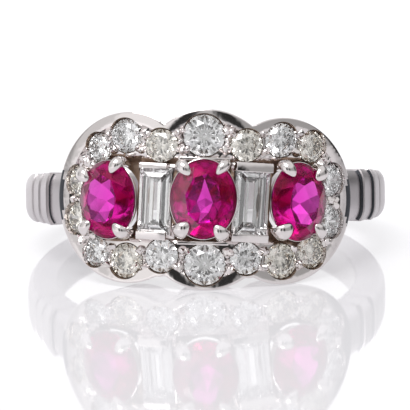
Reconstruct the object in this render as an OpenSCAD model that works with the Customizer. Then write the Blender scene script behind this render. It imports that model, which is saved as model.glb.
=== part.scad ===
// Ruby and diamond cluster ring, lying on its side as it rests by itself.
// Three oval rubies and two baguettes stand in a row, framed by eighteen round diamonds.
// The ring is drawn upright first: X to the right, the head towards -Y, the finger's axis along Z.
// Then it leans back until the foot of the head and the back of the band touch the same level.

/* [Band] */
// Radius of the finger hole
finger_r = 8.65; // [7.5:0.05:9.5]
// Outer radius of the band at its two sides
band_r = 10.4; // [9.8:0.05:11]
// Extra radius towards the head, and as much less at the back
band_swell = 0.3; // [0:0.05:0.5]
// Half the band's width at the back
band_half_back = 1.2; // [0.8:0.05:1.4]
// Extra half width where the band meets the head
band_half_gain = 0.42; // [0:0.02:0.6]
// How far the outer face drops from its middle to its edges
band_drop = 0.45; // [0.1:0.05:0.6]
// Height of the stepped reeds on the shoulders
reed_rise = 0.25; // [0:0.01:0.35]
// Extra half width of the shoulders at each step
reed_side = 0.08; // [0:0.01:0.12]

/* [Head] */
// How far the centre of the head's curve lies in front of the finger's axis
curve_shift = 1.2; // [0.8:0.1:1.6]
// Radius of the head's curve at the top of the rim
rim_r = 10.4; // [10.2:0.05:10.6]
// Depth of the stone floor below the rim
floor_depth = 0.25; // [0.1:0.01:0.35]
// Thickness of the floor that holds the stones
floor_t = 0.9; // [0.7:0.05:1.1]
// Width of the polished rim
rim_w = 0.5; // [0.3:0.05:0.7]
// Thickness of the gallery wall under the rim
wall_t = 0.85; // [0.6:0.05:1.2]
// Share of its height that the head loses for each share of its radius
wall_taper = 0.52; // [0.4:0.02:0.6]
// Turn of the head against the band, clockwise from the front
head_turn = 2; // [0:0.5:3]

/* [Stones] */
// Radius of the curve that the round diamonds' girdles follow
diamond_seat_r = 10.14; // [10:0.01:10.2]
// Radius of the curve that the rubies' girdles follow
ruby_seat_r = 10.75; // [10.6:0.01:10.9]
// Radius of the curve that the baguettes' girdles follow
baguette_seat_r = 10.55; // [10.4:0.01:10.6]
// Air between a stone and its seat
seat_gap = 0.04; // [0.03:0.01:0.06]
// Radius of the light holes behind the round diamonds
light_hole_r = 0.38; // [0.2:0.02:0.5]

/* [Claws and bars] */
// Width of a ruby claw
claw_w = 0.62; // [0.4:0.02:0.7]
// Thickness of a ruby claw
claw_t = 0.46; // [0.3:0.02:0.5]
// Height of the bars over the baguettes' ends
bar_rise = 0.36; // [0.3:0.02:0.5]
// Radius of the grains that hold the round diamonds
grain_r = 0.2; // [0.12:0.01:0.24]

/* [Hidden] */
WHITE_GOLD = [0.80, 0.78, 0.78];
RUBY = [0.72, 0.03, 0.33];
DIAMOND = [0.90, 0.91, 0.90];

// The lobes of the head: middle along X and Z, half length along X, half height along Z.
// The last two fill the lower valleys.
LOBE_X = 0;
LOBE_Z = 1;
LOBE_HALF_L = 2;
LOBE_HALF_H = 3;
LOBES = [
    [-4.20,  0.00, 3.86, 4.75],
    [ 0.20,  0.00, 4.28, 5.01],
    [ 4.40,  0.00, 3.70, 4.63],
    [-2.34, -3.30, 0.90, 1.04],
    [ 2.58, -3.30, 0.90, 1.00],
];
MIDDLE_LOBE = LOBES[1];

// Round diamonds: name, angle along the head's curve, height, diameter
ROUND_NAME = 0;
ROUND_ANGLE = 1;
ROUND_Z = 2;
ROUND_D = 3;
ROUNDS = [
    ["diamond_top_1",    -35.1,  2.72, 1.62],
    ["diamond_top_2",    -25.3,  3.42, 1.88],
    ["diamond_top_3",    -13.6,  2.93, 1.84],
    ["diamond_top_4",     -0.2,  3.54, 2.32],
    ["diamond_top_5",     13.2,  3.03, 1.80],
    ["diamond_top_6",     24.5,  3.37, 1.90],
    ["diamond_top_7",     35.4,  3.04, 1.74],
    ["diamond_left_1",   -42.9,  0.80, 1.80],
    ["diamond_left_2",   -43.2, -1.24, 1.80],
    ["diamond_right_1",   43.5,  1.18, 1.86],
    ["diamond_right_2",   43.4, -1.12, 1.86],
    ["diamond_bottom_1", -35.4, -3.10, 1.62],
    ["diamond_bottom_2", -24.5, -3.50, 1.92],
    ["diamond_bottom_3", -12.8, -3.15, 1.86],
    ["diamond_bottom_4",   0.8, -3.58, 2.30],
    ["diamond_bottom_5",  13.7, -3.20, 1.80],
    ["diamond_bottom_6",  25.3, -3.33, 1.95],
    ["diamond_bottom_7",  36.2, -2.84, 1.80],
];

// Rubies: name, angle, height, width, length, turn in their claws, and where the claws stand
RUBY_NAME = 0;
RUBY_ANGLE = 1;
RUBY_Z = 2;
RUBY_W = 3;
RUBY_L = 4;
RUBY_TURN = 5;
RUBY_CLAWS = 6;
RUBIES = [
    ["ruby_left",   -29.9, -0.14, 3.56, 4.33,  0.8, [64, 141, 227, 308]],
    ["ruby_middle",     0,  0.04, 3.68, 4.41, -0.6, [56, 129, 231, 304]],
    ["ruby_right",   29.6, -0.02, 3.50, 4.34,  1.2, [47, 121, 228, 311]],
];

// Baguettes: name, angle, height, width, length, turn clockwise from the front
BAGUETTE_NAME = 0;
BAGUETTE_ANGLE = 1;
BAGUETTE_Z = 2;
BAGUETTE_W = 3;
BAGUETTE_L = 4;
BAGUETTE_TURN = 5;
BAGUETTES = [
    ["baguette_left",  -14.8, -0.12, 1.78, 3.66, 1.5],
    ["baguette_right",  14.6, -0.09, 1.90, 3.80, 2.5],
];

// Shares of a brilliant's width: table, crown corners, lower corners
TABLE = 0.58;
CROWN_CORNER = 0.80;
LOWER_CORNER = 0.24;
// Heights of a round diamond as shares of its diameter, and its girdle
CROWN_SHARE = 0.15;
PAVILION_SHARE = 0.41;
GIRDLE = 0.06;
// Heights of a ruby
RUBY_CROWN = 0.6;
RUBY_GIRDLE = 0.1;
RUBY_PAVILION = 1.65;
// Steps of a baguette from its table to its keel: inset, height
BAGUETTE_STEPS = [[0.50, 0.26], [0.24, 0.16], [0, 0], [0, -0.08], [0.34, -0.46], [0.80, -0.80]];
BAGUETTE_GIRDLE = 0.08;

// Angles from the head at which the reeds step up, and where the last one runs out
REEDS = [54.4, 62, 69.5];
REEDS_END = 86;
STEP_HALF = 0.2;
// Where the band starts inside the head's end wall
BAND_START = 42;
BAND_STEP = 8;
// Shares of the half width at which the band's outer face is drawn
BAND_FACE = [-1, -0.95, -0.85, -0.7, -0.45, 0, 0.45, 0.7, 0.85, 0.95, 1];
BAND_CROWN_POWER = 3.5;
BAND_WIDTH_POWER = 2.5;
// The true round wall inside the band: thickness, half width, overlap, and the bevel beside it
LINER_T = 0.15;
LINER_HALF = 1.05;
LINER_OVERLAP = 0.3;
BEVEL = 0.12;

OUTLINE_SIDES = 96;
HEAD_FRONT_Y = -15;
HEAD_BACK_Y = -3;
HEAD_H = 14;
FLOOR_R = rim_r - floor_depth;
HOLLOW_R = FLOOR_R - floor_t;

// The lean that brings the foot of the head and the back of the band to one level
HEAD_FOOT = norm([MIDDLE_LOBE[LOBE_HALF_L] * sin(head_turn), MIDDLE_LOBE[LOBE_HALF_H] * cos(head_turn)])
    + MIDDLE_LOBE[LOBE_X] * sin(head_turn);
HEAD_REACH = curve_shift + rim_r;
BACK_EDGE_R = band_r - band_swell - band_drop;
LEAN = atan((HEAD_FOOT - band_half_back) / (HEAD_REACH + BACK_EDGE_R));
REST_Z = HEAD_FOOT * cos(LEAN) - HEAD_REACH * sin(LEAN);
// Half of the way between the rubies' tables and the back of the band
TABLE_REACH = curve_shift + ruby_seat_r + RUBY_CROWN;
BACK_REACH = band_r - band_swell;
REST_Y = (TABLE_REACH - BACK_REACH) / 2;

// Triangles of a body that runs through rings of points, and its two end faces
function loft_sides(rings, points) = [
    for (i = [0 : rings - 2], j = [0 : points - 1])
        let (k = (j + 1) % points, a = i * points + j, b = i * points + k)
        each [[a, b, b + points], [a, b + points, a + points]]
];
function loft_faces(rings, points) = concat(
    loft_sides(rings, points),
    [[for (j = [points - 1 : -1 : 0]) j]],
    [[for (j = [0 : points - 1]) (rings - 1) * points + j]]);

// Outline of the head: how far a ray from its middle reaches in each lobe
function lobe_reach(lobe, inset, angle) =
    let (
        half_l = lobe[LOBE_HALF_L] - inset,
        half_h = lobe[LOBE_HALF_H] - inset,
        square = pow(cos(angle) / half_l, 2) + pow(sin(angle) / half_h, 2),
        linear = cos(angle) * lobe[LOBE_X] / pow(half_l, 2) + sin(angle) * lobe[LOBE_Z] / pow(half_h, 2),
        rest = pow(lobe[LOBE_X] / half_l, 2) + pow(lobe[LOBE_Z] / half_h, 2) - 1,
        root = linear * linear - square * rest)
    root > 0 ? (linear + sqrt(root)) / square : 0;
function outline(inset) = [
    for (i = [0 : OUTLINE_SIDES - 1])
        let (angle = 360 * i / OUTLINE_SIDES, reach = max([for (lobe = LOBES) lobe_reach(lobe, inset, angle)]))
        [reach * cos(angle), reach * sin(angle)]
];
// A point of the outline, carried along its ray from the curve's centre to the plane y
function on_plane(point, y) =
    let (depth = sqrt(rim_r * rim_r - point.x * point.x), share = (-curve_shift - y) / depth)
    [point.x * share, y, point.y * (1 - wall_taper * (1 - share))];

// Places a thing on the head's curve, with its +Z outwards and its +Y up the head
module on_head(angle, z, r) {
    translate([0, -curve_shift, z]) rotate([0, 0, angle]) translate([0, -r, 0]) rotate([90, 0, 0]) children();
}

module curve_disc(r) {
    translate([0, -curve_shift, 0]) cylinder(h = HEAD_H, r = r, center = true, $fn = 96);
}

// The block that the lobes' outline sweeps out of the curve's centre
module outline_block(inset) {
    shape = outline(inset);
    sides = len(shape);
    points = concat([for (p = shape) on_plane(p, HEAD_FRONT_Y)], [for (p = shape) on_plane(p, HEAD_BACK_Y)],
        [[0, HEAD_FRONT_Y, 0], [0, HEAD_BACK_Y, 0]]);
    faces = concat(
        loft_sides(2, sides),
        [for (j = [0 : sides - 1]) [(j + 1) % sides, j, 2 * sides]],
        [for (j = [0 : sides - 1]) [sides + j, sides + (j + 1) % sides, 2 * sides + 1]]);
    polyhedron(points, faces, convexity = 6);
}

// Gallery wall, rim and floor in one piece, hollow behind the floor
module head_block() {
    difference() {
        intersection() {
            outline_block(0);
            curve_disc(rim_r);
        }
        difference() {
            outline_block(rim_w);
            curve_disc(FLOOR_R);
        }
        intersection() {
            outline_block(wall_t);
            curve_disc(HOLLOW_R);
        }
    }
}

// Share of a reed's height at an angle from the head
function reed(angle) =
    let (
        ends = [for (i = [1 : len(REEDS) - 1]) REEDS[i], REEDS_END],
        parts = [for (i = [0 : len(REEDS) - 1])
            angle > REEDS[i] && angle < ends[i] ? (ends[i] - angle) / (ends[i] - REEDS[i]) : 0])
    max(parts);
function band_stations() =
    let (
        shoulder = concat(
            [BAND_START, (BAND_START + REEDS[0]) / 2],
            [for (g = REEDS) each [g - STEP_HALF, g + STEP_HALF, g + 4]],
            [for (angle = [80 : BAND_STEP : 176]) angle]))
    concat(shoulder, [180], [for (i = [len(shoulder) - 1 : -1 : 0]) 360 - shoulder[i]]);
function band_section(station) =
    let (
        angle = min(station, 360 - station),
        r = band_r + band_swell * cos(angle) + reed_rise * reed(angle),
        half = band_half_back + band_half_gain * pow((1 + cos(angle)) / 2, BAND_WIDTH_POWER)
            + reed_side * reed(angle),
        inner = finger_r + LINER_T,
        section = concat([[inner, -LINER_HALF], [inner + BEVEL, -half]],
            [for (share = BAND_FACE) [r - band_drop * pow(abs(share), BAND_CROWN_POWER), share * half]],
            [[inner + BEVEL, half], [inner, LINER_HALF]]))
    [for (p = section) [p[0] * sin(station), -p[0] * cos(station), p[1]]];

// The band from one end wall of the head round the back to the other
module band() {
    stations = band_stations();
    points = [for (s = stations) each band_section(s)];
    polyhedron(points, loft_faces(len(stations), len(BAND_FACE) + 4), convexity = 6);
}

// The round wall that the finger touches, before it is bored
module band_liner() {
    start = BAND_START + 2;
    rotate([0, 0, start - 90])
        rotate_extrude(angle = 360 - 2 * start, $fn = 96)
            translate([finger_r - LINER_OVERLAP, -LINER_HALF])
                square([LINER_OVERLAP + LINER_T + BEVEL, 2 * LINER_HALF]);
}

// Head and liner in one, bored for the finger
module bored_body() {
    difference() {
        union() {
            rotate([0, head_turn, 0]) head_block();
            band_liner();
        }
        cylinder(h = HEAD_H, r = finger_r, center = true, $fn = 120);
    }
}

// Points and faces of a brilliant cut: table, crown corners, girdle, lower corners, culet
function brilliant_ring(half_w, half_l, share, z, count, turn) = [
    for (i = [0 : count - 1])
        let (angle = 360 * i / count + turn)
        [half_w * share * cos(angle), half_l * share * sin(angle), z]
];
function brilliant_points(half_w, half_l, crown, girdle, pavilion) =
    let (
        corner_z = crown * (1 - CROWN_CORNER * cos(22.5)) / (1 - TABLE),
        lower_z = -girdle - pavilion * (1 - LOWER_CORNER * cos(22.5)))
    concat(
        brilliant_ring(half_w, half_l, TABLE, crown, 8, 0),
        brilliant_ring(half_w, half_l, CROWN_CORNER, corner_z, 8, 22.5),
        brilliant_ring(half_w, half_l, 1, 0, 16, 0),
        brilliant_ring(half_w, half_l, 1, -girdle, 16, 0),
        brilliant_ring(half_w, half_l, LOWER_CORNER, lower_z, 8, 22.5),
        [[0, 0, -girdle - pavilion]]);
BRILLIANT_FACES = concat(
    [[7, 6, 5, 4, 3, 2, 1, 0]],
    [for (i = [0 : 7])
        let (
            next = (i + 1) % 8,
            last = (i + 7) % 8,
            top = 16 + 2 * i,
            top_half = top + 1,
            top_next = 16 + 2 * next,
            low = top + 16,
            low_half = top_half + 16,
            low_next = top_next + 16)
        each [
            [i, next, 8 + i],
            [i, 8 + i, top, 8 + last],
            [8 + i, top_half, top],
            [8 + i, top_next, top_half],
            [top, top_half, low_half, low],
            [top_half, top_next, low_next, low_half],
            [48 + i, low, low_half],
            [48 + i, low_half, low_next],
            [56, 48 + last, low, 48 + i]
        ]]);

module brilliant(width, length, crown, girdle, pavilion) {
    polyhedron(brilliant_points(width / 2, length / 2, crown, girdle, pavilion), BRILLIANT_FACES);
}

module round_diamond(stone) {
    d = stone[ROUND_D];
    color(DIAMOND) on_head(stone[ROUND_ANGLE], stone[ROUND_Z], diamond_seat_r)
        brilliant(d, d, d * CROWN_SHARE, GIRDLE, d * PAVILION_SHARE);
}

module on_ruby(stone) {
    on_head(stone[RUBY_ANGLE], stone[RUBY_Z], ruby_seat_r) rotate([0, 0, stone[RUBY_TURN]]) children();
}

module ruby(stone) {
    color(RUBY) on_ruby(stone)
        brilliant(stone[RUBY_W], stone[RUBY_L], RUBY_CROWN, RUBY_GIRDLE, RUBY_PAVILION);
}

// A step-cut bar of stone: rectangles that shrink towards the table and the keel
module step_cut(width, length, gap) {
    grow = [gap, gap, gap, -gap, -gap, -2 * gap];
    points = [for (i = [0 : len(BAGUETTE_STEPS) - 1])
        let (
            inset = BAGUETTE_STEPS[i][0],
            half_w = width / 2 + gap - inset,
            half_l = length / 2 + gap - inset,
            z = BAGUETTE_STEPS[i][1] + grow[i])
        each [[half_w, half_l, z], [-half_w, half_l, z], [-half_w, -half_l, z], [half_w, -half_l, z]]];
    polyhedron(points, loft_faces(len(BAGUETTE_STEPS), 4));
}

module baguette(stone) {
    color(DIAMOND) on_baguette(stone) step_cut(stone[BAGUETTE_W], stone[BAGUETTE_L], 0);
}

module on_baguette(stone) {
    on_head(stone[BAGUETTE_ANGLE], stone[BAGUETTE_Z], baguette_seat_r)
        rotate([0, 0, -stone[BAGUETTE_TURN]]) children();
}

// Seat of a round diamond: a drilled cone open to the front, with a light hole behind
LIGHT_HOLE_L = 0.4;
module round_seat(stone) {
    r = stone[ROUND_D] / 2 + seat_gap;
    depth = stone[ROUND_D] * PAVILION_SHARE;
    open = rim_r - diamond_seat_r + 0.1;
    on_head(stone[ROUND_ANGLE], stone[ROUND_Z], diamond_seat_r) {
        rotate_extrude($fn = 48)
            polygon([[0, -GIRDLE - depth - 2 * seat_gap], [r, -GIRDLE - seat_gap], [r, open], [0, open]]);
        translate([0, 0, -GIRDLE - depth - LIGHT_HOLE_L]) cylinder(h = 2 * LIGHT_HOLE_L, r = light_hole_r, $fn = 24);
    }
}

module ruby_seat(stone) {
    on_ruby(stone) translate([0, 0, seat_gap])
        brilliant(stone[RUBY_W] + 2 * seat_gap, stone[RUBY_L] + 2 * seat_gap, RUBY_CROWN + seat_gap,
            RUBY_GIRDLE + 2 * seat_gap, RUBY_PAVILION + seat_gap);
}

module baguette_seat(stone) {
    on_baguette(stone) step_cut(stone[BAGUETTE_W], stone[BAGUETTE_L], seat_gap);
}

// A ring of an oval cone
COLLET_SIDES = 32;
COLLET_FOOT = -1.1;
COLLET_LIP = 0.05;
COLLET_LEAN = 0.42;
module collet(stone) {
    top = -RUBY_GIRDLE - seat_gap;
    rings = [[-COLLET_LEAN, COLLET_FOOT], [COLLET_LIP, top]];
    points = [for (ring = rings, i = [0 : COLLET_SIDES - 1])
        let (angle = -360 * i / COLLET_SIDES)
        [(stone[RUBY_W] / 2 + ring[0]) * cos(angle), (stone[RUBY_L] / 2 + ring[0]) * sin(angle), ring[1]]];
    on_ruby(stone) polyhedron(points, loft_faces(2, COLLET_SIDES));
}

// A claw from the floor over the girdle onto the crown: out from the girdle, height, lean, share of its size
CLAW_PATH = [
    [ 0.06, -0.90,   0, 0.80],
    [ 0.20, -0.30,   0, 0.95],
    [ 0.24,  0.02,  12, 1.00],
    [ 0.14,  0.28,  45, 1.00],
    [-0.08,  0.43,  64, 0.90],
    [-0.32,  0.51,  75, 0.55],
];
CLAW_SIDES = 8;
module claw(stone, at) {
    girdle = [stone[RUBY_W] / 2 * cos(at), stone[RUBY_L] / 2 * sin(at)];
    normal = [cos(at) / stone[RUBY_W], sin(at) / stone[RUBY_L]];
    facing = atan2(normal.y, normal.x);
    points = [for (p = CLAW_PATH, i = [0 : CLAW_SIDES - 1])
        let (
            angle = 360 * (i + 0.5) / CLAW_SIDES,
            across = claw_w / 2 * p[3] * cos(angle),
            through = claw_t / 2 * p[3] * sin(angle))
        [p[0] + through * cos(p[2]), across, p[1] + through * sin(p[2])]];
    on_ruby(stone) translate([girdle.x, girdle.y, 0]) rotate([0, 0, facing])
        polyhedron(points, loft_faces(len(CLAW_PATH), CLAW_SIDES));
}

// The box under a baguette and the two bars that hold its ends
BOX_FOOT = -1;
BOX_WALL = 0.06;
BAR_L = 0.46;
BAR_OVERLAP = 0.22;
module baguette_box(stone) {
    width = stone[BAGUETTE_W] + 2 * BOX_WALL;
    length = stone[BAGUETTE_L] + 2 * BOX_WALL;
    on_baguette(stone) {
        translate([-width / 2, -length / 2, BOX_FOOT])
            cube([width, length, -BOX_FOOT - BAGUETTE_GIRDLE - seat_gap]);
        for (side = [-1, 1])
            translate([-stone[BAGUETTE_W] / 2, side * (stone[BAGUETTE_L] / 2 - BAR_OVERLAP + BAR_L / 2) - BAR_L / 2,
                BOX_FOOT])
                cube([stone[BAGUETTE_W], BAR_L, bar_rise - BOX_FOOT]);
    }
}

// Narrow rails above and below the middle ruby, bent along the head's curve: from, to, height
RAIL_W = 0.2;
RAIL_RISE = 0.22;
RAIL_FOOT = 0.3;
RAILS = [
    [-8, 8,  2.24],
    [-8, 8, -2.40],
];
module rail(from, to, z) {
    translate([0, -curve_shift, z]) rotate([0, 0, from - 90])
        rotate_extrude(angle = to - from, $fn = 96)
            translate([FLOOR_R - RAIL_FOOT, -RAIL_W / 2]) square([RAIL_FOOT + RAIL_RISE, RAIL_W]);
}

// Grains raised from the floor between neighbouring diamonds, one towards the rim and one inwards
GRAIN_SPREAD = 0.62;
GRAIN_LIFT = 0.03;
ROWS = [[7, 0, 1, 2, 3, 4, 5, 6, 9], [8, 11, 12, 13, 14, 15, 16, 17, 10], [7, 8], [9, 10]];
module grains() {
    for (row = ROWS, i = [0 : len(row) - 2]) {
        a = ROUNDS[row[i]];
        b = ROUNDS[row[i + 1]];
        arc_a = [a[ROUND_ANGLE] * PI / 180 * FLOOR_R, a[ROUND_Z]];
        arc_b = [b[ROUND_ANGLE] * PI / 180 * FLOOR_R, b[ROUND_Z]];
        way = (arc_b - arc_a) / norm(arc_b - arc_a);
        free = norm(arc_b - arc_a) - (a[ROUND_D] + b[ROUND_D]) / 2;
        middle = arc_a + way * (a[ROUND_D] / 2 + free / 2);
        for (side = [-1, 1]) {
            place = middle + side * GRAIN_SPREAD * [-way.y, way.x];
            on_head(place.x * 180 / PI / FLOOR_R, place.y, FLOOR_R + GRAIN_LIFT)
                sphere(r = grain_r, $fn = 16);
        }
    }
}

module ring_mount() {
    color(WHITE_GOLD) {
        band();
        difference() {
            union() {
                bored_body();
                rotate([0, head_turn, 0]) head_details();
            }
            rotate([0, head_turn, 0]) head_seats();
        }
    }
}

module head_details() {
    grains();
    for (r = RAILS)
        rail(r[0], r[1], r[2]);
    for (stone = RUBIES) {
        collet(stone);
        for (at = stone[RUBY_CLAWS])
            claw(stone, at);
    }
    for (stone = BAGUETTES)
        baguette_box(stone);
}

module head_seats() {
    for (stone = ROUNDS)
        round_seat(stone);
    for (stone = RUBIES)
        ruby_seat(stone);
    for (stone = BAGUETTES)
        baguette_seat(stone);
}

// Lays the upright ring down
module at_rest() {
    translate([0, REST_Y, REST_Z]) rotate([-LEAN, 0, 0]) children();
}
module at_rest_in_head() {
    at_rest() rotate([0, head_turn, 0]) children();
}

at_rest() ring_mount();
for (stone = RUBIES)
    at_rest_in_head() ruby(stone);
for (stone = BAGUETTES)
    at_rest_in_head() baguette(stone);
for (stone = ROUNDS)
    at_rest_in_head() round_diamond(stone);
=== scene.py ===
"""Ruby and diamond cluster ring lying on its side on a white table."""

import math
import random

import bmesh
import bpy
from mathutils import Matrix, Vector


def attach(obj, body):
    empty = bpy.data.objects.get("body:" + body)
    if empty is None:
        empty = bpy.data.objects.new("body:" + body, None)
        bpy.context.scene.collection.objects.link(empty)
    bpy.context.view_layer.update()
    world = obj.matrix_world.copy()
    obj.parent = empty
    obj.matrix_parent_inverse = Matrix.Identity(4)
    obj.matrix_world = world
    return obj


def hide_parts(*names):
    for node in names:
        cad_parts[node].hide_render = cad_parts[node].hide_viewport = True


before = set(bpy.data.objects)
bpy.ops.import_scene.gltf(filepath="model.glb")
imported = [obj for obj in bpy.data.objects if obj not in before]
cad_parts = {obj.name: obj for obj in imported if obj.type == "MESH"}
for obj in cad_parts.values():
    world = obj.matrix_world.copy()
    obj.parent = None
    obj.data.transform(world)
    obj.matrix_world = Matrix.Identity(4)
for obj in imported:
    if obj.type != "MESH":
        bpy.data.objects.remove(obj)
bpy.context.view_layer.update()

# Band: a white gold strip bent round the finger, domed outside and flat inside, soldered to both
# ends of the head. Three reeds are filed across each shoulder, so that it steps down towards the
# head. Its finish is satin.
MM = 0.001
# The ring is made in millimetres with the finger hole's axis upright and the head in front. Then it
# is laid down on the foot of the head and the lower edge at the back of the band.
LEAN = math.radians(10.181)
REST = Vector((0, 1.225, 2.887))
LAY_DOWN = Matrix.Scale(MM, 4) @ Matrix.Translation(REST) @ Matrix.Rotation(-LEAN, 4, "X")
WELD_MM = 0.0005
FINGER_R = 8.65
BAND_R = 10.4
BAND_SWELL = 0.3
# Half width at the back, and how much and how late it grows towards the head
BAND_HALF_BACK = 1.17
BAND_HALF_GAIN = 0.43
BAND_WIDTH_POWER = 2.5
# How much and how late the dome drops towards its edges
BAND_DROP = 0.34
BAND_CROWN_POWER = 4.2
# Angle from the head at which the band starts, and the step between its sections
BAND_START = 42
BAND_STEP = 1.5
# Angle at which each reed starts, its height, and how far the painted dark reflection reaches
# before its foot and up its step
RIGHT_REEDS = ((57.0, 0.22, 0.5, 0.3), (64.2, 0.24, 0.5, 0.35), (71, 0.10, 0, 0))
LEFT_REEDS = ((56.0, 0.22, 0, 0.12), (62, 0.14, 0, 0.04), (68.5, 0.12, 0, 0.04))
# Angle at which the last reed has faded out. A reed widens the band by a share of its height. It
# climbs over an angle, from a fine cut, and sinks to a share of its height before the next one.
REEDS_END = 86
REED_SIDE = 0.45
REED_EDGE = 0.5
REED_CUT = 0.03
REED_LOW = 0.3
# The painted dark reflection stays outside this radius
STEP_FOOT_R = 9.9
# Rows of points round the section: on the bore, how high up the wall and how far across the half
# width, and on the crown, how far across
BORE_ROWS = (
    (0.16, -0.97),
    (0.06, -0.90),
    (0.01, -0.80),
    (0, -0.5),
    (0, 0),
    (0, 0.5),
    (0.01, 0.80),
    (0.06, 0.90),
    (0.16, 0.97),
)
CROWN_ROWS = (1, 0.995, 0.97, 0.93, 0.87, 0.78, 0.66, 0.5, 0.33, 0.16, 0)


def linear(code):
    """A colour's sRGB hex code as linear values."""
    parts = [int(code[i : i + 2], 16) / 255 for i in (1, 3, 5)]
    return [p / 12.92 if p <= 0.04045 else ((p + 0.055) / 1.055) ** 2.4 for p in parts] + [1]


def add_node(material, kind, settings=None, **links):
    """Adds a node, sets its values and joins its inputs to other nodes' sockets."""
    node = material.node_tree.nodes.new(kind)
    for key, value in (settings or {}).items():
        if isinstance(key, int) or key in node.inputs:
            node.inputs[key].default_value = value
        else:
            setattr(node, key, value)
    for key, socket in links.items():
        material.node_tree.links.new(socket, node.inputs[key.replace("_", " ")])
    return node


def new_material(name):
    """A material without any nodes yet."""
    material = bpy.data.materials.new(name)
    material.use_nodes = True
    material.node_tree.nodes.clear()
    return material


# 18 carat white gold, rhodium plated. The band's finish is satin, a soft grey sheen: rubbed across
# with a fine stick, so that the streaks run with its width. They are drawn 0.04 mm wide, coarser
# than real ones, so that they show.
SATIN_GOLD = "#cdc8ca"
STREAK_MM = (0.04, 0.04, 2.5)
STREAK_DEPTH_MM = 0.006
satin_white_gold = new_material("satin_white_gold")
satin_coords = add_node(satin_white_gold, "ShaderNodeTexCoord")
streak_space = add_node(
    satin_white_gold,
    "ShaderNodeMapping",
    {"Rotation": (LEAN, 0, 0), "Scale": [1 / (size * MM) for size in STREAK_MM]},
    Vector=satin_coords.outputs["Object"],
)
streaks = add_node(
    satin_white_gold,
    "ShaderNodeTexNoise",
    {"Scale": 1.0, "Detail": 3.0},
    Vector=streak_space.outputs["Vector"],
)
streak_bump = add_node(
    satin_white_gold,
    "ShaderNodeBump",
    {"Strength": 0.35, "Distance": STREAK_DEPTH_MM * MM},
    Height=streaks.outputs["Fac"],
)
satin_shader = add_node(
    satin_white_gold,
    "ShaderNodeBsdfPrincipled",
    {"Base Color": linear(SATIN_GOLD), "Metallic": 1.0, "Roughness": 0.36},
    Normal=streak_bump.outputs["Normal"],
)
add_node(satin_white_gold, "ShaderNodeOutputMaterial", Surface=satin_shader.outputs["BSDF"])

# Corners that no polishing reaches stay matt and finely pitted. The reeds' steps and the solder
# seams at the head are painted dark grey, as a painted dark reflection.
PIT_MM = 0.1
PIT_DEPTH_MM = 0.03
DARK_REFLECTION_GREY = "#4e5055"


def new_dull_metal(name, colour, roughness):
    """White gold in a flat dull colour, matt and pitted."""
    material = new_material(name)
    coords = add_node(material, "ShaderNodeTexCoord")
    pits = add_node(
        material,
        "ShaderNodeTexNoise",
        {"Scale": 1 / (PIT_MM * MM), "Detail": 3.0},
        Vector=coords.outputs["Object"],
    )
    bump = add_node(
        material,
        "ShaderNodeBump",
        {"Strength": 0.5, "Distance": PIT_DEPTH_MM * MM},
        Height=pits.outputs["Fac"],
    )
    shader = add_node(
        material,
        "ShaderNodeBsdfPrincipled",
        {"Base Color": linear(colour), "Metallic": 1.0, "Roughness": roughness},
        Normal=bump.outputs["Normal"],
    )
    add_node(material, "ShaderNodeOutputMaterial", Surface=shader.outputs["BSDF"])
    return material


# A painted dark reflection, for the reeds' steps and the rim's edge at the head's ends
painted_dark_reflection = new_dull_metal("painted_dark_reflection", DARK_REFLECTION_GREY, 0.35)


def make_piece(bm, name, slot, *materials, crease=35):
    """Lays a mesh in the upright ring's millimetres down and makes it a finished piece."""
    bmesh.ops.remove_doubles(bm, verts=bm.verts, dist=WELD_MM)
    bmesh.ops.recalc_face_normals(bm, faces=bm.faces)
    bmesh.ops.transform(bm, matrix=LAY_DOWN, verts=bm.verts)
    for face in bm.faces:
        face.smooth = True
    mesh = bpy.data.meshes.new(name)
    bm.to_mesh(mesh)
    bm.free()
    mesh.set_sharp_from_angle(angle=math.radians(crease))
    for material in materials:
        mesh.materials.append(material)
    piece = bpy.data.objects.new(name, mesh)
    bpy.context.collection.objects.link(piece)
    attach(piece, "root")
    return piece


def reed(angle):
    """Height of the reeds at an angle from the head, where the right shoulder is under 180."""
    reeds = RIGHT_REEDS if angle < 180 else LEFT_REEDS
    angle = min(angle, 360 - angle)
    ends = [row[0] for row in reeds[1:]] + [REEDS_END]
    for (start, rise, _, _), end in zip(reeds, ends):
        if math.isclose(angle, start):
            return -REED_CUT
        if start < angle < end:
            low = 0 if end == REEDS_END else REED_LOW
            climb = min((angle - start) / REED_EDGE, 1)
            return climb * rise * (low + (1 - low) * (end - angle) / (end - start))
    return 0


def band_sizes(angle):
    """Outer radius and half width of the band."""
    cosine = math.cos(math.radians(angle))
    r = BAND_R + BAND_SWELL * cosine + reed(angle)
    fade = ((1 + cosine) / 2) ** BAND_WIDTH_POWER
    return r, BAND_HALF_BACK + BAND_HALF_GAIN * fade + REED_SIDE * reed(angle)


def side_stations(reeds):
    """Angles of the sections from the head to the back, with closer ones at each reed's step."""
    angles = {BAND_START + i * BAND_STEP for i in range(round((180 - BAND_START) / BAND_STEP))}
    for start, _, _, after in reeds:
        angles = {a for a in angles if abs(a - start) > REED_EDGE * 2}
        angles |= {start - REED_EDGE, start, start + REED_EDGE, start + REED_EDGE * 2}
        if after:
            angles.add(start + after)
    return sorted(angles)


def band_row(angle):
    """Radius and height of each row of the section, once round it."""
    r, half = band_sizes(angle)
    wall = r - BAND_DROP - FINGER_R
    bore = [(FINGER_R + up * wall, share * half) for up, share in BORE_ROWS]
    crown = [(r - BAND_DROP * share**BAND_CROWN_POWER, share * half) for share in CROWN_ROWS]
    return bore + crown + [(radius, -z) for radius, z in reversed(crown[:-1])]


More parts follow.
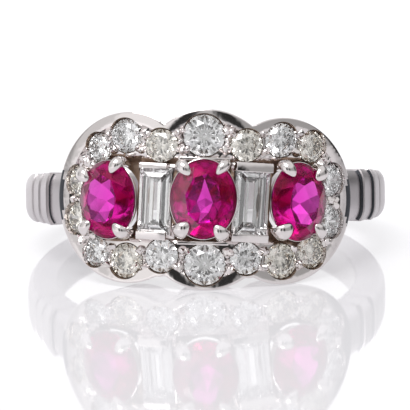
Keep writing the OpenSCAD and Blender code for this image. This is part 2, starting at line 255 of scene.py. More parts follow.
left_stations = [360 - angle for angle in reversed(side_stations(LEFT_REEDS))]
stations = side_stations(RIGHT_REEDS) + [180] + left_stations
rows = len(band_row(180))
bm = bmesh.new()
bmesh.ops.create_grid(bm, x_segments=len(stations) - 1, y_segments=rows, size=0.5)
for vert in bm.verts:
    angle = stations[round((vert.co.x + 0.5) * (len(stations) - 1))]
    radius, z = band_row(angle)[round((vert.co.y + 0.5) * rows) % rows]
    vert.co = (radius * math.sin(math.radians(angle)), -radius * math.cos(math.radians(angle)), z)
# Faces at a reed's step, outside the foot radius, get the painted dark reflection
for face in bm.faces:
    middle = face.calc_center_median()
    angle = abs(math.degrees(math.atan2(middle.x, -middle.y)))
    reeds = RIGHT_REEDS if middle.x > 0 else LEFT_REEDS
    at_step = any(-before < angle - start < after for start, _, before, after in reeds)
    face.material_index = 1 if at_step and middle.xy.length > STEP_FOOT_R else 0
bmesh.ops.remove_doubles(bm, verts=bm.verts, dist=WELD_MM)
bmesh.ops.holes_fill(bm, edges=bm.edges, sides=0)
band = make_piece(bm, "band", "white_gold", satin_white_gold, painted_dark_reflection, crease=30)
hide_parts("ring_mount")

# Head: one wall bent to three lobes, which tapers to the finger, with a polished rim round a sunk
# floor. The floor is drilled for every stone. The head is soldered to the band and turned 2 degrees
# against it.
RIM_R = 10.4
FLOOR_R = 10.15
HOLLOW_R = 9.25
WALL_MID_R = 9.6
# These radii are measured from an axis that stands this far in front of the finger hole's
CURVE_SHIFT = 1.2
# Depth of the sunk floor, its half length, half height and the width of its slope, and between
# which shares of the depth it is brown with tarnish and painted shade
SUNK = 0.45
SUNK_L = 6.4
SUNK_H = 2.35
SUNK_EDGE = 0.3
BROWN_FROM = 0.3
BROWN_TO = 1.1
# Width of the rim and of the bright cut inside it, and thickness and taper of the wall
RIM_W = 0.62
BRIGHT_CUT = 0.12
WALL_T = 0.85
WALL_TAPER = 0.52
TURN_HEAD = Matrix.Rotation(math.radians(2), 4, "Y")
# The rim's domed face: how far in from its edge, and how far below its top
RIM_DOME = (
    (0, 0.07),
    (0.01, 0.04),
    (0.03, 0.018),
    (0.07, 0.006),
    (0.16, 0),
    (0.30, -0.004),
    (0.48, 0),
    (RIM_W, 0.02),
)
# The section of the wall, from the middle of the hollow round to the middle of the floor: how far
# in from the rim's edge, radius, and share to which the outline is shrunk
HUB = 0.02
FLOOR_IN = RIM_W + BRIGHT_CUT
FLOOR_RINGS = 24
HEAD_SECTION = (
    [(WALL_T, HOLLOW_R, share) for share in (HUB, 0.25, 0.5, 0.75, 1)]
    + [(WALL_T, "bore", 1), (0, "bore", 1), (0, WALL_MID_R, 1)]
    + [(inset, RIM_R - drop, 1) for inset, drop in RIM_DOME]
    + [(FLOOR_IN, "floor", 1 - (1 - HUB) * i / FLOOR_RINGS) for i in range(FLOOR_RINGS + 1)]
)
OUTLINE_SIDES = 288
# Middle along X and Z, half length and half height of each lobe; the last two fill the lower
# valleys
LOBES = (
    (-4.20, 0.00, 3.98, 4.75),
    (0.20, 0.00, 4.28, 5.01),
    (4.40, 0.00, 3.86, 4.63),
    (-2.34, -3.30, 0.90, 1.04),
    (2.58, -3.30, 0.90, 1.00),
)
# 18 carat white gold, rhodium plated and polished: a neutral grey mirror. A waviness about 2 mm
# long, dents about 0.5 mm wide and hairlines break the reflections up a little. The hairlines are
# drawn 0.05 mm wide, coarser than real ones, so that they show.
WHITE_GOLD = "#e6e0df"
# Size in mm, strength and depth in mm
WAVES = (2.0, 0.5, 0.04)
HAIRLINES = (0.05, 0.12, 0.004)
DENT_MM = 0.5
DENT_STRENGTH = 0.5


def new_bright_metal(name, roughness, dent_depth):
    """Polished white gold, whose dents have a depth in mm."""
    material = new_material(name)
    coords = add_node(material, "ShaderNodeTexCoord")
    normal = {}
    for size, strength, depth in (WAVES, (DENT_MM, DENT_STRENGTH, dent_depth), HAIRLINES):
        noise = add_node(
            material,
            "ShaderNodeTexNoise",
            {"Scale": 1 / (size * MM), "Detail": 1.0},
            Vector=coords.outputs["Object"],
        )
        settings = {"Strength": strength, "Distance": depth * MM}
        bump = add_node(
            material, "ShaderNodeBump", settings, Height=noise.outputs["Fac"], **normal
        )
        normal = {"Normal": bump.outputs["Normal"]}
    settings = {"Base Color": linear(WHITE_GOLD), "Metallic": 1.0, "Roughness": roughness}
    shader = add_node(material, "ShaderNodeBsdfPrincipled", settings, **normal)
    add_node(material, "ShaderNodeOutputMaterial", Surface=shader.outputs["BSDF"])
    return material


polished_white_gold = new_bright_metal("polished_white_gold", 0.09, 0.025)

# The sunk floor and the stones' seats are never polished again, so they are brownish and matt.
# Their colour is also darkened as painted shade, where the stones above keep the light out.
TARNISH_AND_SHADE = "#b5a090"
tarnished_and_shaded_white_gold = new_dull_metal("tarnished_and_shaded_white_gold", TARNISH_AND_SHADE, 0.5)
# Where each shoulder is soldered on, the rim's edge is painted dark, a painted dark reflection: up
# to which height, and how far in from the edge. It starts at a half length and is this deep.
DARK_REFLECTION_BAND = ((0.9, 0.31), (1.35, 0.17), (1.7, 0.08))
DARK_REFLECTION_FROM = 6.5
DARK_REFLECTION_DEPTH = 0.1


def lobe_reach(lobe, inset, angle):
    """How far a ray from the head's middle runs until it leaves a lobe."""
    x, z, half_l, half_h = lobe
    half_l, half_h = half_l - inset, half_h - inset
    c, s = math.cos(angle), math.sin(angle)
    square = (c / half_l) ** 2 + (s / half_h) ** 2
    along = c * x / half_l**2 + s * z / half_h**2
    root = along**2 - square * ((x / half_l) ** 2 + (z / half_h) ** 2 - 1)
    return (along + math.sqrt(root)) / square if root > 0 else 0


def outline(side, inset):
    """The head's outline at the rim, moved in from the edge."""
    angle = math.tau * side / OUTLINE_SIDES
    reach = max(lobe_reach(lobe, inset, angle) for lobe in LOBES)
    return reach * math.cos(angle), reach * math.sin(angle)


def on_curve(x, z, radius):
    """Carries a point of the rim's outline along its ray to a radius of the head's curve."""
    depth = math.sqrt(RIM_R**2 - x**2)
    share = radius / RIM_R
    return Vector((x * share, -CURVE_SHIFT - depth * share, z * (1 - WALL_TAPER * (1 - share))))


def bore_radius(x):
    """The radius of the head's curve at which a ray meets the finger hole."""
    ahead = CURVE_SHIFT * math.sqrt(RIM_R**2 - x**2) / RIM_R
    return -ahead + math.sqrt(ahead**2 + FINGER_R**2 - CURVE_SHIFT**2)


def floor_radius(x, z):
    """The radius of the floor, which is sunk in the middle, under the five large stones."""
    edge = min((SUNK_H - abs(z)) / SUNK_EDGE, (SUNK_L - abs(x)) / SUNK_EDGE)
    return FLOOR_R - SUNK * min(max(edge, 0), 1)


def extrude_loop(bm, loop):
    """Pulls a closed loop of points into the next one, and gives that in the same order."""
    edges = [bm.edges.get((loop[i - 1], loop[i])) for i in range(len(loop))]
    made = bmesh.ops.extrude_edge_only(bm, edges=edges)["geom"]
    fresh = {v for v in made if isinstance(v, bmesh.types.BMVert)}
    return [next(e.other_vert(v) for e in v.link_edges if e.other_vert(v) in fresh) for v in loop]


bm = bmesh.new()
loop = bmesh.ops.create_circle(bm, segments=OUTLINE_SIDES, radius=1)["verts"]
for step, (inset, radius, shrink) in enumerate(HEAD_SECTION):
    if step:
        loop = extrude_loop(bm, loop)
    for side, vert in enumerate(loop):
        x, z = outline(side, inset)
        x, z = x * shrink, z * shrink
        if radius == "bore":
            vert.co = on_curve(x, z, bore_radius(x))
        elif radius == "floor":
            vert.co = on_curve(x, z, floor_radius(x, z))
        else:
            vert.co = on_curve(x, z, radius)
bmesh.ops.holes_fill(bm, edges=bm.edges, sides=0)
for face in bm.faces:
    middle = face.calc_center_median()
    reach = math.hypot(middle.x, middle.y + CURVE_SHIFT)
    # The sunk floor gets the brown tarnish with painted shade
    brown = FLOOR_R - SUNK * BROWN_TO < reach < FLOOR_R - SUNK * BROWN_FROM
    if brown and abs(middle.x) < SUNK_L and abs(middle.z) < SUNK_H:
        face.material_index = 1
    # The rim's edge at the head's ends gets the painted dark reflection
    if reach > RIM_R - DARK_REFLECTION_DEPTH and abs(middle.x) > DARK_REFLECTION_FROM:
        end = abs(outline(0 if middle.x > 0 else OUTLINE_SIDES // 2, 0)[0])
        rim_in = end - math.hypot(middle.x * RIM_R / reach, middle.z)
        if any(abs(middle.z) < high and rim_in < inset for high, inset in DARK_REFLECTION_BAND):
            face.material_index = 2
bmesh.ops.transform(bm, matrix=TURN_HEAD, verts=bm.verts)
head_metals = (polished_white_gold, tarnished_and_shaded_white_gold, painted_dark_reflection)
head = make_piece(bm, "head", "white_gold", *head_metals, crease=40)
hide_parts("ring_mount")

# Places of the stones, for which the head's floor is drilled. Each row of round stones runs left to
# right: angle round the head's curve, height above its middle, diameter
TOP_ROUNDS = (
    (-35.1, 2.72, 1.62),
    (-25.3, 3.42, 1.88),
    (-13.6, 2.93, 1.84),
    (-0.2, 3.54, 2.32),
    (13.2, 3.03, 1.80),
    (24.5, 3.37, 1.90),
    (35.4, 3.04, 1.74),
)
BOTTOM_ROUNDS = (
    (-35.4, -3.10, 1.62),
    (-24.5, -3.50, 1.92),
    (-12.8, -3.15, 1.86),
    (0.8, -3.58, 2.30),
    (13.7, -3.20, 1.80),
    (25.3, -3.33, 1.95),
    (36.2, -2.84, 1.80),
)
LEFT_ROUNDS = ((-42.9, 0.80, 1.80), (-43.2, -1.24, 1.80))
RIGHT_ROUNDS = ((43.5, 1.18, 1.86), (43.4, -1.12, 1.86))
ROUND_GIRDLE_R = 10.14
ROUND_GIRDLE = 0.06
# Angle, height, width, length and clockwise turn
BAGUETTES = ((-14.8, -0.12, 1.78, 3.66, 1.5), (14.6, -0.09, 1.90, 3.80, 2.5))
BAGUETTE_R = 10.55
# Angle, height, width, length, turn, and the angles of the four claws round the stone
RUBIES = (
    (-29.9, -0.14, 3.56, 4.33, 0.8, (64, 141, 227, 308)),
    (0, 0.04, 3.68, 4.41, -0.6, (56, 129, 231, 304)),
    (29.6, -0.02, 3.50, 4.34, 1.2, (47, 121, 228, 311)),
)
RUBY_R = 10.75
# Every cut runs from above the girdle to below the floor. A round seat has air round the stone, a
# flare at its mouth and a cone as deep as a share of the stone's diameter, down to a light hole.
CUT_TOP = 0.4
CUT_FOOT = -2
SEAT_GAP = 0.04
SEAT_FLARE = 0.05
SEAT_CONE = 0.328
SEAT_SIDES = 48
LIGHT_HOLE_R = 0.38
# Out from the ruby's edge and height, and how much smaller than its stone a baguette's hole is
RUBY_HOLE = ((-0.12, CUT_TOP), (-0.30, CUT_FOOT))
BAGUETTE_LEDGE = 0.3
# Seats have the sunk floor's brown tarnish and painted shade up to this half length, and are
# bright at the head's two ends
DULL_TO = 6.6


def on_head(angle, height, radius, turn=0):
    """Local +Z points out of the head and +Y up it."""
    return (
        TURN_HEAD
        @ Matrix.Translation((0, -CURVE_SHIFT, height))
        @ Matrix.Rotation(math.radians(angle), 4, "Z")
        @ Matrix.Translation((0, -radius, 0))
        @ Matrix.Rotation(math.radians(90), 4, "X")
        @ Matrix.Rotation(math.radians(turn), 4, "Z")
    )


def join_ends(bm, rounds):
    """Closes a shape that was extruded from its first loop to its last."""
    ends = [bm.edges.get((r[i - 1], r[i])) for r in (rounds[0], rounds[-1]) for i in range(len(r))]
    bmesh.ops.bridge_loops(bm, edges=ends)


def turn_oval(bm, half_w, half_l, profile, matrix, sides=64, ring=False):
    """Carries a profile of (out from the oval, height) round it, to a plug or a closed ring."""
    loop = bmesh.ops.create_circle(bm, segments=sides, radius=1)["verts"]
    rounds = [loop]
    for step, (out, height) in enumerate(profile):
        if step:
            loop = extrude_loop(bm, loop)
            rounds.append(loop)
        for side, vert in enumerate(loop):
            a = math.tau * side / sides
            vert.co = ((half_w + out) * math.cos(a), (half_l + out) * math.sin(a), height)
    if ring:
        join_ends(bm, rounds)
    else:
        bmesh.ops.holes_fill(bm, edges=[e for e in bm.edges if e.is_boundary], sides=0)
    bmesh.ops.transform(bm, matrix=matrix, verts=[v for r in rounds for v in r])


def drill(piece, bm):
    """Cuts the closed shapes of a mesh out of a piece, for good."""
    bmesh.ops.recalc_face_normals(bm, faces=bm.faces)
    bmesh.ops.transform(bm, matrix=LAY_DOWN, verts=bm.verts)
    for face in bm.faces:
        # Seats in the middle get the brown tarnish with painted shade
        face.material_index = 1 if abs(face.calc_center_median().x) < DULL_TO * MM else 0
    mesh = bpy.data.meshes.new("drills")
    bm.to_mesh(mesh)
    bm.free()
    for material in piece.data.materials:
        mesh.materials.append(material)
    drills = bpy.data.objects.new("drills", mesh)
    bpy.context.collection.objects.link(drills)
    cut = piece.modifiers.new("drill", "BOOLEAN")
    cut.object, cut.operation, cut.solver, cut.use_self = drills, "DIFFERENCE", "EXACT", True
    finished = piece.evaluated_get(bpy.context.evaluated_depsgraph_get())
    drilled = bpy.data.meshes.new_from_object(finished)
    piece.modifiers.remove(cut)
    piece.data = drilled
    bpy.data.objects.remove(drills)


bm = bmesh.new()
for angle, height, d in TOP_ROUNDS + BOTTOM_ROUNDS + LEFT_ROUNDS + RIGHT_ROUNDS:
    r = d / 2 + SEAT_GAP
    hole_in = LIGHT_HOLE_R - r
    seat = (
        (SEAT_FLARE, CUT_TOP),
        (0, -ROUND_GIRDLE - SEAT_GAP),
        (hole_in, -ROUND_GIRDLE - SEAT_CONE * d),
        (hole_in, CUT_FOOT),
    )
    turn_oval(bm, r, r, seat, on_head(angle, height, ROUND_GIRDLE_R), sides=SEAT_SIDES)
for angle, height, w, l, turn, _ in RUBIES:
    turn_oval(bm, w / 2, l / 2, RUBY_HOLE, on_head(angle, height, RUBY_R, turn))
for angle, height, w, l, turn in BAGUETTES:
    hole = bmesh.ops.create_cube(bm, size=1)["verts"]
    size = (w - BAGUETTE_LEDGE, l - BAGUETTE_LEDGE, CUT_TOP - CUT_FOOT)
    bmesh.ops.scale(bm, vec=size, verts=hole)
    spot = on_head(angle, height, BAGUETTE_R + (CUT_TOP + CUT_FOOT) / 2, -turn)
    bmesh.ops.transform(bm, matrix=spot, verts=hole)
drill(head, bm)

# Collets: three oval cones of white gold sheet, soldered into the floor, which carry the rubies.
# Their lips are burnished to a thin bright line under the girdle, and the walls below have the
# floor's brown tarnish with painted shade.
COLLET_SIDES = 96
COLLET_DULL_R = 10.35
# Out from the ruby's edge, and height above its girdle
COLLET = (
    (-0.42, -1.10),
    (0.02, -0.16),
    (0.04, -0.12),
    (0.01, -0.10),
    (-0.06, -0.15),
    (-0.34, -0.42),
    (-0.62, -1.10),
)
bm = bmesh.new()
for angle, height, w, l, turn, _ in RUBIES:
    spot = on_head(angle, height, RUBY_R, turn)
    turn_oval(bm, w / 2, l / 2, COLLET, spot, sides=COLLET_SIDES, ring=True)
# Walls below the lips get the brown tarnish with painted shade
for face in bm.faces:
    middle = face.calc_center_median()
    reach = math.hypot(middle.x, middle.y + CURVE_SHIFT)
    face.material_index = 1 if reach < COLLET_DULL_R else 0
collets = make_piece(bm, "collets", "white_gold", polished_white_gold, tarnished_and_shaded_white_gold)
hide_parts("ring_mount")

# Claws: twelve pieces of round wire, four round each ruby, pushed over its edge and filed by hand
# to drops, each one to a width of its own.
CLAW_WIDTHS = ((0.74, 0.82, 0.78, 0.78), (0.64, 0.76, 0.92, 0.84), (0.82, 0.78, 0.96, 0.74))
CLAW_T = 0.60
CLAW_SIDES = 12
# Out from the girdle, height, lean, share of the claw's size
CLAW_PATH = (
    (0.02, -1.00, 0, 0.72),
    (0.18, -0.35, 0, 0.84),
    (0.26, 0.02, 12, 0.96),
    (0.18, 0.29, 42, 1.04),
    (-0.06, 0.45, 66, 0.98),
    (-0.36, 0.50, 78, 0.70),
    (-0.59, 0.46, 92, 0.27),
)
# Claws, bars and grains are burnished with a steel point, so they are brighter and less even than
# the rim.
burnished_white_gold = new_bright_metal("burnished_white_gold", 0.04, 0.03)
bm = bmesh.new()
for (angle, height, w, l, turn, claw_angles), widths in zip(RUBIES, CLAW_WIDTHS):
    for claw_angle, claw_w in zip(claw_angles, widths):
        c, s = math.cos(math.radians(claw_angle)), math.sin(math.radians(claw_angle))
        spot = (
            on_head(angle, height, RUBY_R, turn)
            @ Matrix.Translation((w / 2 * c, l / 2 * s, 0))
            @ Matrix.Rotation(math.atan2(s / l, c / w), 4, "Z")
        )
        loop = bmesh.ops.create_circle(bm, segments=CLAW_SIDES, radius=1)["verts"]
        points = list(loop)
        for step, (out, up, lean, size) in enumerate(CLAW_PATH):
            if step:
                loop = extrude_loop(bm, loop)
                points += loop
            over, rise = math.cos(math.radians(lean)), math.sin(math.radians(lean))
            for side, vert in enumerate(loop):
                a = math.tau * side / CLAW_SIDES
                across = claw_w / 2 * size * math.cos(a)
                through = CLAW_T / 2 * size * math.sin(a)
                vert.co = (out + through * over, across, up + through * rise)
        bmesh.ops.transform(bm, matrix=spot, verts=points)
bmesh.ops.holes_fill(bm, edges=bm.edges, sides=0)
claws = make_piece(bm, "claws", "white_gold", burnished_white_gold, crease=180)
smooth = claws.modifiers.new("smooth", "SUBSURF")
smooth.levels = smooth.render_levels = 2
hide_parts("ring_mount")

# Baguette boxes: two frames of white gold sheet, soldered to the floor, which carry the baguettes.
# A bar lies across each end and is pressed down over the stone's edge.
BOX_CORNERS = ((1, 1), (-1, 1), (-1, -1), (1, -1))
# Out from the stone's edge, and height above its girdle
BOX = (
    (0.24, -1.0),
    (0.22, -0.42),
    (0.08, -0.34),
    (0.06, -0.14),
    (0.0, -0.12),
    (-0.5, -0.62),
    (-0.6, -1.0),
)
BAR_RISE = 0.36
BAR_DEPTH = 1
BAR_ROUND = 0.05
# Which end, aside from the stone's middle, width, length, overlap on the stone, lean outwards in
# degrees
BARS = (
    ((1, -0.10, 1.60, 0.32, 0.04, 19), (-1, -0.06, 1.70, 0.44, 0.12, 11)),
    ((1, 0.0, 2.10, 0.52, 0.22, 9), (-1, -0.04, 2.10, 0.46, 0.14, 10)),
)
bm = bmesh.new()
for (angle, height, w, l, turn), bars in zip(BAGUETTES, BARS):
    spot = on_head(angle, height, BAGUETTE_R, -turn)
    loop = bmesh.ops.create_circle(bm, segments=4, radius=1)["verts"]
    rounds = [loop]
    for step, (out, up) in enumerate(BOX):
        if step:
            loop = extrude_loop(bm, loop)
            rounds.append(loop)
        for vert, (x, y) in zip(loop, BOX_CORNERS):
            vert.co = (x * (w / 2 + out), y * (l / 2 + out), up)
    join_ends(bm, rounds)
    bmesh.ops.transform(bm, matrix=spot, verts=[v for r in rounds for v in r])
    for side, aside, bar_w, bar_l, overlap, lean in bars:
        bar = bmesh.ops.create_cube(bm, size=1)["verts"]
        bmesh.ops.scale(bm, vec=(bar_w, bar_l, BAR_DEPTH + BAR_RISE), verts=bar)
        for vert in bar:
            if vert.co.z > 0:
                vert.co.z -= side * vert.co.y * math.tan(math.radians(lean))
        along = side * (l / 2 - overlap + bar_l / 2)
        bmesh.ops.translate(bm, vec=(aside, along, (BAR_RISE - BAR_DEPTH) / 2), verts=bar)
        rounded = bmesh.ops.bevel(
            bm,
            geom=list({e for v in bar for e in v.link_edges}),
            offset=BAR_ROUND,
            segments=3,
            profile=0.5,
            affect="EDGES",
            material=-1,
        )
        bar = list({v for f in rounded["faces"] for v in f.verts})
        bmesh.ops.transform(bm, matrix=spot, verts=bar)
boxes = make_piece(bm, "baguette_boxes", "white_gold", burnished_white_gold)
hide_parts("ring_mount")

# Rails: two thin strips of white gold, bent along the floor and soldered to it, one above and one
# below the middle ruby.
RAIL_W = 0.2
RAIL_RISE = 0.22
RAIL_FOOT = 0.3
RAIL_ROUND = 0.05
RAIL_HALF_ANGLE = 8
RAIL_STEPS = 24
RAIL_HEIGHTS = (2.24, -2.40)
bm = bmesh.new()
for height in RAIL_HEIGHTS:
    strip = bmesh.ops.create_grid(bm, x_segments=1, y_segments=1, size=0.5)["verts"]
    bmesh.ops.scale(bm, vec=(RAIL_FOOT + RAIL_RISE, RAIL_W, 1), verts=strip)
    stand = (
        Matrix.Rotation(math.radians(-RAIL_HALF_ANGLE - 90), 4, "Z")
        @ Matrix.Translation((FLOOR_R + (RAIL_RISE - RAIL_FOOT) / 2, 0, 0))
        @ Matrix.Rotation(math.radians(90), 4, "X")
    )
    stand = Matrix.Translation((0, -CURVE_SHIFT, height)) @ stand
    bmesh.ops.transform(bm, matrix=stand, verts=strip)
    bmesh.ops.spin(
        bm,
        geom=list({f for v in strip for f in v.link_faces}),
        cent=(0, -CURVE_SHIFT, height),
        axis=(0, 0, 1),
        angle=math.radians(2 * RAIL_HALF_ANGLE),
        steps=RAIL_STEPS,
    )
bmesh.ops.recalc_face_normals(bm, faces=bm.faces)
bmesh.ops.bevel(
    bm,
    geom=[e for e in bm.edges if e.calc_face_angle(0) > math.radians(60)],
    offset=RAIL_ROUND,
    segments=2,
    profile=0.5,
    affect="EDGES",
    material=-1,
)
bmesh.ops.transform(bm, matrix=TURN_HEAD, verts=bm.verts)
rails = make_piece(bm, "rails", "white_gold", polished_white_gold)
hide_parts("ring_mount")

# Grains: metal raised with a graver between the round stones and pushed over their edges. Each gap
# has a large one and a smaller one beside the line between its stones, and small beads at each
# stone. A wide gap has three more.
GRAIN_LIFT = 0.02
WIDE_GAP = 0.2
# Size, and place beside the line
GRAINS = ((0.34, 0.54), (0.29, 0.50))
# Place beside the line, lift, and size as a share of the gap
WIDE_GRAINS = ((0, 0, 0.62), (0.26, GRAIN_LIFT, 0.5), (-0.26, GRAIN_LIFT, 0.5))
BEAD_R = 0.24
BEAD_OUT = 0.06
BEAD_LIFT = 0.1
BEAD_SHARE = 0.6
BEAD_TURN = math.radians(26)
# Number of facets cut on a grain, and how far from its middle
GRAIN_CUTS = 5
GRAIN_CUT = 0.7
# Rows of stones with gaps, and 1 where the large grain stands to the left of the way along the row
ROWS = (
    ((LEFT_ROUNDS[0],) + TOP_ROUNDS + (RIGHT_ROUNDS[0],), 1),
    ((LEFT_ROUNDS[1],) + BOTTOM_ROUNDS + (RIGHT_ROUNDS[1],), -1),
    (LEFT_ROUNDS, 1),
    (RIGHT_ROUNDS, -1),
)


def on_floor(angle, height):
    """A stone's place on the floor rolled out flat."""
    return Vector((math.radians(angle) * FLOOR_R, height))


def add_grain(bm, spot, lift, size, graver):
    """A lump with a few cut facets, each one a little different."""
    matrix = on_head(
        math.degrees(spot.x / FLOOR_R), spot.y, FLOOR_R + lift, graver.uniform(0, 180)
    )
    shape = (size, size * graver.uniform(0.7, 1), size * graver.uniform(0.8, 1), 1)
    lump = bmesh.ops.create_icosphere(bm, subdivisions=3, radius=1)["verts"]
    for _ in range(GRAIN_CUTS):
        a, rise = graver.uniform(0, math.tau), graver.uniform(0.3, 1.1)
        facing = Vector(
            (math.cos(a) * math.cos(rise), math.sin(a) * math.cos(rise), math.sin(rise))
        )
        for vert in lump:
            past = vert.co.dot(facing) - GRAIN_CUT
            if past > 0:
                vert.co -= facing * past
    bmesh.ops.transform(bm, matrix=matrix @ Matrix.Diagonal(shape), verts=lump)


graver = random.Random(7)
bm = bmesh.new()
for row, hand in ROWS:
    for (angle, height, d), (next_angle, next_height, next_d) in zip(row, row[1:]):
        here, there = on_floor(angle, height), on_floor(next_angle, next_height)
        way = (there - here).normalized()
        gap = (there - here).length - (d + next_d) / 2
        aside = Vector((-way.y, way.x)) * hand
        between = here + way * (d + gap) / 2
        for side, (size, spread) in zip((1, -1), GRAINS):
            add_grain(bm, between + aside * side * spread, GRAIN_LIFT, size, graver)
        if gap > WIDE_GAP:
            for spread, lift, share in WIDE_GRAINS:
                add_grain(bm, between + aside * spread, lift, gap * share, graver)
        for stone, stone_d, facing in ((here, d, way), (there, next_d, -way)):
            for turn in (-BEAD_TURN, BEAD_TURN):
                if graver.random() < BEAD_SHARE:
                    spot = stone + Matrix.Rotation(turn, 2) @ facing * (stone_d / 2 + BEAD_OUT)
                    add_grain(bm, spot, BEAD_LIFT, BEAD_R * graver.uniform(0.75, 1.1), graver)
grains = make_piece(bm, "grains", "white_gold", burnished_white_gold, crease=20)
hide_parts("ring_mount")

# Rubies: three oval mixed cuts, with a brilliant crown over a stepped and slightly crooked back,
# each held by four claws. Ruby shows two colours: purple when looked into through the table, and a
# redder pink through the sides.
RUBY_NAMES = ("ruby_left", "ruby_middle", "ruby_right")
RUBY_CROWN = 0.60
RUBY_DEPTH = 1.75
# Share of the half width and half length, share of the crown's or the back's height, corners, turn
# in corners
RUBY_RINGS = (
    (0.55, 0.65, 1.0, 8, 0.0),
    (0.82, 0.86, 0.56, 8, 0.5),
    (1.0, 1.0, 0.0, 16, 0.0),
    (1.0, 1.0, -0.06, 16, 0.0),
    (0.80, 0.82, -0.36, 12, 0.5),
    (0.52, 0.57, -0.70, 9, 0.3),
    (0.24, 0.30, -0.94, 6, 0.0),
    (0.02, 0.12, -1.05, 2, 0.5),
)
RUBY_POINT = 1.05
# How far the back's point stands to the side and up, the table's turn, and where round the stone
# its facets are worn. The back is crooked below a share of its height.
RUBY_CROOK = ((0.14, -0.10, 4, 155), (0.10, -0.22, -9, 190), (-0.12, -0.16, 7, -25))
CROOK_FROM = 0.1
RUBY_WORN = 55
TABLE_FACING = 0.97
FLAT = math.radians(0.6)


def new_gem(name, body, ior, density, surface="#ffffff", shine="#ffffff", clear=1.0, rough=0.0):
    """Clear stone, which bends light at its facets and dims it to the body's colour inside."""
    material = new_material(name)
    shader = add_node(
        material,
        "ShaderNodeBsdfPrincipled",
        {
            "Base Color": linear(surface),
            "Roughness": rough,
            "IOR": ior,
            "Transmission Weight": clear,
            "Specular Tint": linear(shine),
        },
    )
    settings = {"Color": linear(body), "Density": density}
    dim = add_node(material, "ShaderNodeVolumeAbsorption", settings)
    add_node(
        material,
        "ShaderNodeOutputMaterial",
        Surface=shader.outputs["BSDF"],
        Volume=dim.outputs["Volume"],
    )
    return material


# Natural ruby: a purplish red body that glows. Its facets are a little worn, which softens what is
# seen through them. The back has the table's material, because light that comes in by one and goes
# out by the other has to be dimmed by one body.
RUBY = ("#fb50f0", 1.77, 900)
ruby_table = new_gem("ruby_through_the_table", *RUBY, "#ffb0ee", shine="#b880a8", rough=0.1)
ruby_side = new_gem("ruby_through_the_side", *RUBY, "#de2c98", shine="#b8506c", rough=0.25)
ruby_worn = new_gem("worn_ruby", *RUBY, "#e0589c", clear=0.86, rough=0.1)
for name, ruby, crook in zip(RUBY_NAMES, RUBIES, RUBY_CROOK):
    angle, height, w, l, turn, _ = ruby
    aside, up, twist, worn = crook
    bm = bmesh.new()
    for share_w, share_l, share_h, corners, start in RUBY_RINGS:
        z = RUBY_CROWN * share_h if share_h >= 0 else RUBY_DEPTH * share_h / RUBY_POINT
        lean = max(-share_h - CROOK_FROM, 0)
        for corner in range(corners):
            a = math.tau * (corner + start) / corners + (math.radians(twist) if share_h == 1 else 0)
            x, y = w / 2 * share_w * math.cos(a), l / 2 * share_l * math.sin(a)
            bm.verts.new((x + aside * lean, y + up * lean, z))
    bmesh.ops.convex_hull(bm, input=bm.verts)
    bmesh.ops.dissolve_limit(bm, angle_limit=FLAT, verts=bm.verts, edges=bm.edges)
    for face in bm.faces:
        on_crown = face.calc_center_median().z > 0
        facing = math.degrees(math.atan2(face.normal.y, face.normal.x))
        if not on_crown or face.normal.z > TABLE_FACING:
            face.material_index = 0
        elif abs((facing - worn + 180) % 360 - 180) < RUBY_WORN:
            face.material_index = 2
        else:
            face.material_index = 1
    bmesh.ops.transform(bm, matrix=on_head(angle, height, RUBY_R, turn), verts=bm.verts)
    stone = make_piece(bm, "cut_" + name, "ruby", ruby_table, ruby_side, ruby_worn, crease=0.5)
    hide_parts(name)

# Baguettes: two step-cut diamonds, each held by the bars across its ends. The part's own solids
# have the cut. Diamond is clear and sharp, and throws light back from every step.
DIAMOND_IOR = 2.42
clear_diamond = new_gem("clear_diamond", "#f8faff", DIAMOND_IOR, 40, clear=0.97)


def dress(name, material):
    """Gives one of the part's own solids its material."""
    materials = bpy.data.objects[name].data.materials
    materials.clear()
    materials.append(material)


for name in ("baguette_left", "baguette_right"):
    dress(name, clear_diamond)

# Round diamonds: eighteen brilliants, pressed into their drilled seats and held by the grains. The
# part's own solids have the cut. Some of the stones are faintly yellow.
yellow_diamond = new_gem("yellow_diamond", "#f4ead0", DIAMOND_IOR, 170, clear=0.97)
YELLOW = ("top_3", "top_5", "top_7", "bottom_2", "bottom_6", "bottom_7", "left_1", "left_2")
for row, count in (("top", 7), ("bottom", 7), ("left", 2), ("right", 2)):
    for number in range(1, count + 1):
        stone = f"{row}_{number}"
        dress("diamond_" + stone, yellow_diamond if stone in YELLOW else clear_diamond)

# Table: a glossy sheet of white acrylic, lit from below, so that the ring is mirrored faintly and
# throws little shadow.
TABLE_WHITE = "#b6b5b8"
TABLE_LIGHT = "#fdfcff"
TABLE_GLOW = 0.355
TABLE_SIZE = 0.8
white_acrylic = new_material("white_acrylic")
acrylic_shader = add_node(
    white_acrylic,
    "ShaderNodeBsdfPrincipled",
    {
        "Base Color": linear(TABLE_WHITE),
        "Roughness": 0.04,
        "IOR": 1.38,
        "Emission Color": linear(TABLE_LIGHT),
        "Emission Strength": TABLE_GLOW,
    },
)
add_node(white_acrylic, "ShaderNodeOutputMaterial", Surface=acrylic_shader.outputs["BSDF"])
bm = bmesh.new()
bmesh.ops.create_grid(bm, x_segments=1, y_segments=1, size=TABLE_SIZE / 2)
mesh = bpy.data.meshes.new("table")
bm.to_mesh(mesh)
bm.free()
mesh.materials.append(white_acrylic)
table = bpy.data.objects.new("table", mesh)
bpy.context.collection.objects.link(table)

# Studio: a light tent of white cloth, lit from above. Its walls have dark slits at the two sides
# and a dark mouth round the camera, which the polished metal shows as dark lines.
CEILING = 0.8
# Between which heights, as the upward part of a direction, the walls turn to the ceiling
CEILING_FROM = 0.35
CEILING_TO = 0.6
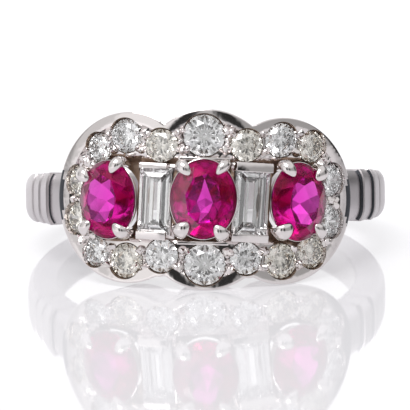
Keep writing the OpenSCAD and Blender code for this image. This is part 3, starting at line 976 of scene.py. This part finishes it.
# Azimuth from the front in degrees, positive to the right, and brightness of the wall there
WALLS = (
    (-180, 1.2),
    (-160, 1.2),
    (-150, 0.9),
    (-117, 0.9),
    (-109, 0.4),
    (-97, 0.4),
    (-90, 0.72),
    (-64, 0.72),
    (-58, 1.0),
    (-25, 1.0),
    (-21, 0.03),
    (-8, 0.03),
    (-5, 0.55),
    (5, 0.55),
    (8, 0.03),
    (20, 0.03),
    (24, 0.4),
    (84, 0.4),
    (94, 0.03),
    (110, 0.03),
    (117, 0.25),
    (150, 0.25),
    (165, 1.2),
    (180, 1.2),
)
studio = bpy.data.worlds.new("studio")
studio.use_nodes = True
studio.node_tree.nodes.clear()
ray = add_node(studio, "ShaderNodeTexCoord")
split = add_node(studio, "ShaderNodeSeparateXYZ", Vector=ray.outputs["Generated"])
forward = add_node(
    studio, "ShaderNodeMath", {"operation": "MULTIPLY", 1: -1}, Value=split.outputs["Y"]
)
azimuth_node = add_node(
    studio, "ShaderNodeMath", {"operation": "ARCTAN2"}, Value=split.outputs["X"]
)
studio.node_tree.links.new(forward.outputs["Value"], azimuth_node.inputs[1])
round_tent = add_node(
    studio,
    "ShaderNodeMapRange",
    {"From Min": -math.pi, "From Max": math.pi},
    Value=azimuth_node.outputs["Value"],
)
walls = add_node(studio, "ShaderNodeValToRGB", Fac=round_tent.outputs["Result"])
stops = walls.color_ramp.elements
for azimuth, bright in WALLS:
    if azimuth == -180:
        stop = stops[0]
    elif azimuth == 180:
        stop = stops[-1]
    else:
        stop = stops.new((azimuth + 180) / 360)
    stop.color = (bright, bright, bright, 1)
upwards = add_node(
    studio,
    "ShaderNodeMapRange",
    {"From Min": CEILING_FROM, "From Max": CEILING_TO, "interpolation_type": "SMOOTHSTEP"},
    Value=split.outputs["Z"],
)
tent = add_node(
    studio,
    "ShaderNodeMix",
    {"data_type": "RGBA", 7: (CEILING, CEILING, CEILING, 1)},
    Factor=upwards.outputs["Result"],
)
studio.node_tree.links.new(walls.outputs["Color"], tent.inputs[6])
light = add_node(studio, "ShaderNodeBackground", Color=tent.outputs[2])
add_node(studio, "ShaderNodeOutputWorld", Surface=light.outputs["Background"])
bpy.context.scene.world = studio
bpy.context.scene.view_settings.view_transform = "Standard"
bpy.context.scene.cycles.max_bounces = 24
bpy.context.scene.cycles.glossy_bounces = 16
bpy.context.scene.cycles.transmission_bounces = 16


def towards(azimuth, elevation):
    """Direction from the ring. Azimuth 0 is in front, 90 to the right."""
    a, e = math.radians(azimuth), math.radians(elevation)
    return Vector((math.sin(a) * math.cos(e), -math.cos(a) * math.cos(e), math.sin(e)))


# A softbox hangs in front, to the left and above.
SOFTBOX_DISTANCE = 0.6
softbox = bpy.data.lights.new("softbox_top", "AREA")
softbox.shape = "RECTANGLE"
softbox.size, softbox.size_y, softbox.energy = 0.4, 0.3, 1.6
softbox_stand = bpy.data.objects.new("softbox_top", softbox)
out = towards(-35, 62)
softbox_stand.location = out * SOFTBOX_DISTANCE
softbox_stand.rotation_euler = out.to_track_quat("Z", "Y").to_euler()
bpy.context.collection.objects.link(softbox_stand)

# Camera: a long lens, a little to the right of the ring and 11.7 degrees above the table. Focal
# length and the place of the ring's middle are in pixels of the picture.
CAMERA_DISTANCE = 0.220
CAMERA_SIDE = 0.6
CAMERA_UP = 11.7
CAMERA_ROLL = math.radians(0.8)
IMAGE_PX = 410
FOCAL_PX = 3784
SENSOR_MM = 36
RING_PX = (205.5, 194.2)
camera = bpy.data.cameras.new("camera")
camera.sensor_width = SENSOR_MM
camera.lens = FOCAL_PX / IMAGE_PX * SENSOR_MM
camera.shift_x = (IMAGE_PX / 2 - RING_PX[0]) / IMAGE_PX
camera.shift_y = (RING_PX[1] - IMAGE_PX / 2) / IMAGE_PX
camera.clip_start = 0.01
camera_stand = bpy.data.objects.new("camera", camera)
back = towards(CAMERA_SIDE, CAMERA_UP)
aim = back.to_track_quat("Z", "Y").to_matrix().to_4x4() @ Matrix.Rotation(-CAMERA_ROLL, 4, "Z")
camera_stand.matrix_world = Matrix.Translation(REST * MM + back * CAMERA_DISTANCE) @ aim
bpy.context.collection.objects.link(camera_stand)
bpy.context.scene.camera = camera_stand
